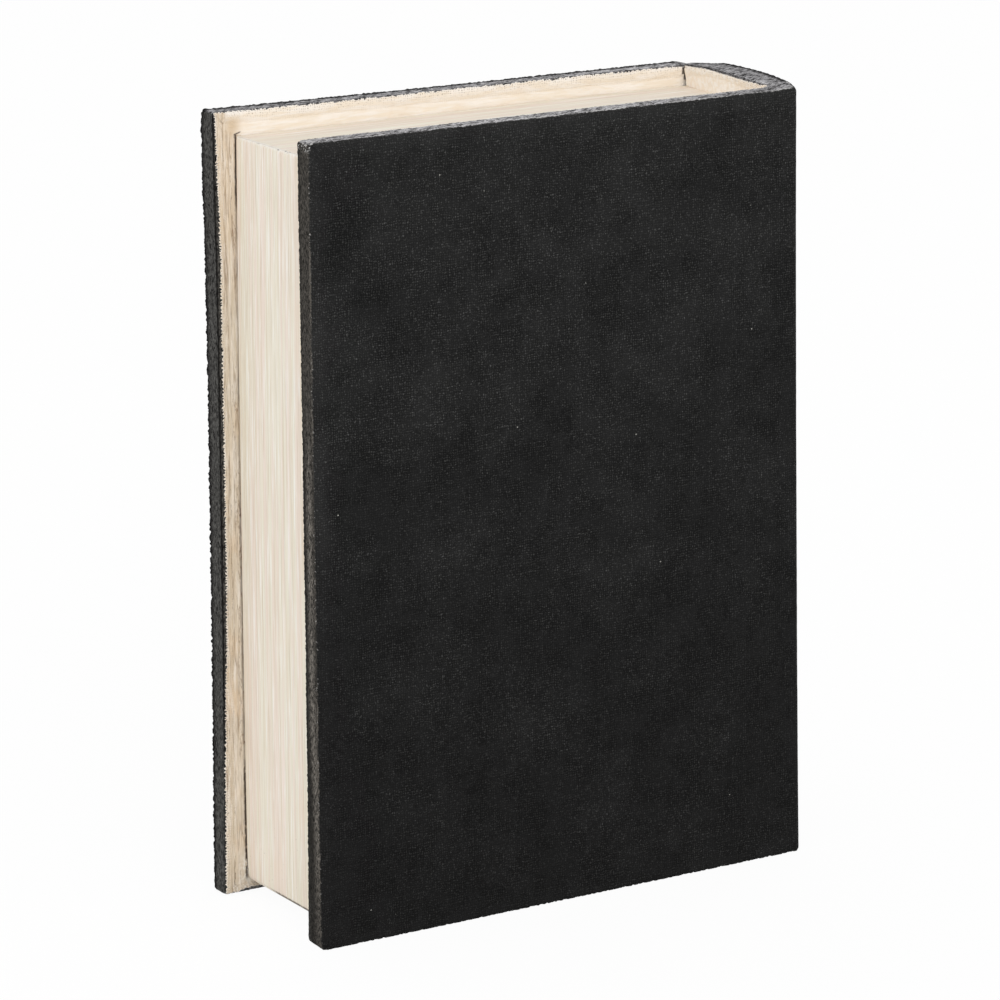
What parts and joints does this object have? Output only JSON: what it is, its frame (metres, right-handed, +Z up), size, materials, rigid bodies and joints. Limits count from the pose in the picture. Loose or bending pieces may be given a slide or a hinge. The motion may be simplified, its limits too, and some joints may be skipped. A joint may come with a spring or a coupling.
{
  "type": "book box",
  "caption": "Keepsake box made like a cloth-bound book: mitred page-block walls on a back cover, rounded spine, and a front cover that opens as the lid on a cloth hinge.",
  "frame": {"origin": "middle of the book's outline, on the surface that its tail edge stands on", "axes": "+X from the fore-edge to the spine, +Y from the back cover to the lid, +Z up from tail to head"},
  "size_m": [0.196, 0.074, 0.27],
  "materials": {
    "cover_board": "fibreboard under brushed cream paint",
    "page_wood": "grooved wood under brushed cream paint",
    "book_cloth": "black painted canvas, matt, worn grey at the arrises",
    "magnet": "nickel plated"
  },
  "bodies": {
    "box": {"base_board": "cover_board", "spine_moulding": "cover_board", "fore_edge_wall": "page_wood", "head_wall": "page_wood", "tail_wall": "page_wood", "spine_wall": "page_wood", "rim_magnet": "magnet", "base_cloth": "book_cloth", "spine_cloth": "book_cloth", "hinge_cloth": "book_cloth"},
    "lid": {"lid_board": "cover_board", "lid_magnet": "magnet", "lid_cloth": "book_cloth"}
  },
  "joints": [
    {"name": "lid_hinge", "type": "hinge", "parent": "box", "child": "lid", "pos_m": [0.091, 0.02865, 0], "axis": [0, 0, -1], "range_deg": [0, 110], "deforming": ["hinge_cloth"]}
  ]
}
